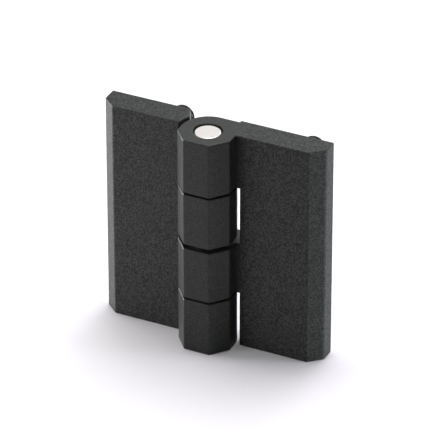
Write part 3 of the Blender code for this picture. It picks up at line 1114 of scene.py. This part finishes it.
@dataclass
class Studio:
    """The white floor, the lamps, the surroundings and the camera."""

    target: Vector
    lamps: tuple[Lamp, ...]
    azimuth: float = 25.7
    elevation: float = 31.0
    distance: float = 1.028
    shift_right: float = 2.70 * MM
    shift_up: float = 2.80 * MM
    focal_pixels: float = 4168.6
    floor_size: float = 8.0
    floor_colour: Colour = (0.955, 0.92, 0.965)
    floor_roughness: float = 0.9
    floor_specular: float = 0.1
    floor_glow: float = 0.06
    ambient: float = 0.05
    back_direction: tuple[float, float, float] = (-0.36, 0.77, 0.52)
    back_span: Point2 = (0.3, 0.95)
    back_glow: float = 0.95
    overhead_span: Point2 = (0.1, 0.5)
    overhead_glow: float = 0.7

    def directions(self) -> tuple[Vector, Vector, Vector]:
        """The camera's right, up and backward directions."""
        a = math.radians(self.azimuth)
        e = math.radians(self.elevation)
        back = Vector((math.sin(a) * math.cos(e), -math.cos(a) * math.cos(e), math.sin(e)))
        right = Vector((math.cos(a), math.sin(a), 0.0))
        return right, back.cross(right), back

    def camera(self) -> Object:
        """Make the camera at the photograph's angle, with no shift and no blur."""
        right, up, back = self.directions()
        data = bpy.data.cameras.new("camera")
        data.sensor_width = SENSOR_WIDTH
        data.lens = SENSOR_WIDTH * self.focal_pixels / IMAGE_PIXELS
        item = bpy.data.objects.new("camera", data)
        bpy.context.scene.collection.objects.link(item)
        place = self.target + back * self.distance
        item.location = place + right * self.shift_right + up * self.shift_up
        item.rotation_euler = Matrix((right, up, back)).transposed().to_euler()
        bpy.context.scene.camera = item
        return item

    @staticmethod
    def ray_kinds(wiring: Wiring) -> tuple[NodeSocket, NodeSocket]:
        """1 or 0 for a ray from the camera, and for one that a mirror or glass sends on."""
        rays = wiring.put("ShaderNodeLightPath").outputs
        sent_on = wiring.math("MAXIMUM", rays["Is Glossy Ray"], rays["Is Transmission Ray"])
        return rays["Is Camera Ray"], sent_on

    def glow(self, wiring: Wiring, place: NodeSocket, span: Point2, most: float) -> NodeSocket:
        """A smooth rise from the faint light to most, as place goes through a span."""
        limits = {0: place, 1: span[0], 2: span[1], 3: self.ambient, 4: most}
        rise = wiring.put("ShaderNodeMapRange", limits, interpolation_type="SMOOTHSTEP")
        return rise.outputs[0]

    def surroundings(self) -> None:
        """Make the world: white to the camera and, overhead and behind, to metal, else faint."""
        world = bpy.data.worlds.new("white room")
        world.use_nodes = True
        wiring = Wiring(world.node_tree)
        background = world.node_tree.nodes["Background"]
        background.inputs["Color"].default_value = (*WHITE, 1.0)
        way = wiring.put("ShaderNodeTexCoord").outputs["Generated"]
        back = Vector(self.back_direction).normalized()
        match = wiring.put("ShaderNodeVectorMath", {0: way, 1: back}, operation="DOT_PRODUCT")
        behind = self.glow(wiring, match.outputs["Value"], self.back_span, self.back_glow)
        height = wiring.put("ShaderNodeSeparateXYZ", {0: way}).outputs[2]
        overhead = self.glow(wiring, height, self.overhead_span, self.overhead_glow)
        from_camera, sent_on = self.ray_kinds(wiring)
        shown = wiring.blend(sent_on, self.ambient, wiring.math("MAXIMUM", behind, overhead))
        wiring.feed(background.inputs["Strength"], wiring.blend(from_camera, shown, 1.0))
        bpy.context.scene.world = world

    def floor(self) -> Object:
        """Lay the floor, which glows a little where it is seen, to be white outside the shadow."""
        half = self.floor_size / 2
        corners = ((-half, -half), (half, -half), (half, half), (-half, half))
        bm = bmesh.new()
        bm.faces.new([bm.verts.new((x, y, 0.0)) for x, y in corners])
        item = link("floor", mesh_of(bm, "floor"))
        material, wiring, shader = new_material("white floor")
        shader.inputs["Base Color"].default_value = (*self.floor_colour, 1.0)
        shader.inputs["Roughness"].default_value = self.floor_roughness
        shader.inputs["Specular IOR Level"].default_value = self.floor_specular
        shader.inputs["Emission Color"].default_value = (*WHITE, 1.0)
        seen = wiring.math("MAXIMUM", *self.ray_kinds(wiring))
        strength = wiring.math("MULTIPLY", seen, self.floor_glow)
        wiring.feed(shader.inputs["Emission Strength"], strength)
        item.data.materials.append(material)
        return item

    def build(self) -> None:
        """Set up the whole studio."""
        self.surroundings()
        self.floor()
        for lamp in self.lamps:
            lamp.hang(self.target)
        self.camera()
        bpy.context.scene.view_settings.view_transform = "Standard"


COATING = PowderCoat(
    label="black powder coat",
    dark=(0.0066, 0.0077, 0.0066),
    light=(0.0416, 0.0449, 0.0406),
    roughness=0.60,
    roughness_spread=0.06,
    bump_height=0.035 * MM,
    specular=0.24,
)
BRIGHT_STEEL = TurnedSteel(
    label="bright turned steel",
    dark=(0.58, 0.555, 0.535),
    light=(0.78, 0.75, 0.73),
    roughness=0.30,
    roughness_spread=0.06,
    bump_height=0.002 * MM,
    metallic=1.0,
)
BLACK_STEEL = TurnedSteel(
    label="black steel",
    dark=(0.006, 0.006, 0.007),
    light=(0.022, 0.022, 0.024),
    roughness=0.34,
    roughness_spread=0.06,
    bump_height=0.002 * MM,
    specular=0.45,
)
BUSH_PLASTIC = BearingPlastic(
    label="black bearing plastic",
    dark=(0.012, 0.012, 0.013),
    light=(0.026, 0.026, 0.027),
    roughness=0.45,
    roughness_spread=0.05,
    bump_height=0.004 * MM,
)
LAMPS = (
    Lamp("left strip", azimuth=183.0, elevation=1.0, width=0.25, height=0.05, power=9.0),
    Lamp("left back strip", azimuth=162.0, elevation=1.0, width=0.16, height=0.05, power=3.5),
    Lamp("right strip", azimuth=19.5, elevation=1.0, width=0.12, height=0.05, power=7.0, colour=COOL),
    Lamp("back softbox", azimuth=92.0, elevation=20.0, width=0.25, height=0.25, power=1.5, colour=COOL),
    Lamp("high softbox", azimuth=98.0, elevation=74.0, width=0.5, height=0.5, power=5.0),
    Lamp("front fill", azimuth=225.0, elevation=10.0, width=0.25, height=0.2, power=1.9),
)


def build_studs(casting: LeafCasting, marks: NodeTree, thread: NodeTree) -> None:
    """Make the two studs of one leaf.

    Args:
        casting: The leaf that holds them.
        marks: The group of tool marks.
        thread: The geometry nodes that wind a stud.
    """
    side = casting.side
    back_y = casting.axis.point.y + casting.section.back_y
    heights = stud_heights(casting.axis.height, casting.stud_from_edge)
    for label, height in zip(("lower", "upper"), heights):
        black = replace(BLACK_STEEL, label=f"black steel, {side.value} {label} stud")
        centre = Vector((side.sign * casting.stud_x, 0.0, height))
        steel = black.material(marks, centre, Vector((0.0, 1.0, 0.0)))
        node = f"{side.value}_{label}_stud"
        ThreadedStud(node, side, casting.stud_x, back_y, height).build(thread, steel)


def build_hinge() -> None:
    """Make every piece of the hinge and report it."""
    joint = frame["joints"][0]
    lowest, highest = CAD_BOX
    axis = PinAxis(Vector(joint["pos_m"]), highest.z - lowest.z)
    grain = SandyGrain().tree()
    marks = ToolMarks().tree()

    coating = COATING.material(grain)
    castings = [LeafCasting(side, axis) for side in Side]
    for casting in castings:
        casting.build(coating)
    HingePin(axis).build(BRIGHT_STEEL.material(marks, axis.point, UP))
    plastic = BUSH_PLASTIC.material(grain)
    for node in ("upper_bush", "lower_bush"):
        FlangedBush(axis, node).build(plastic)
    thread = ThreadedStud.tree()
    for casting in castings:
        build_studs(casting, marks, thread)


def main() -> None:
    """Build the hinge and its studio."""
    logging.basicConfig(level=logging.INFO, format="%(message)s")
    build_hinge()
    Studio(LOOKED_AT, LAMPS).build()


if __name__ == "__main__":
    main()
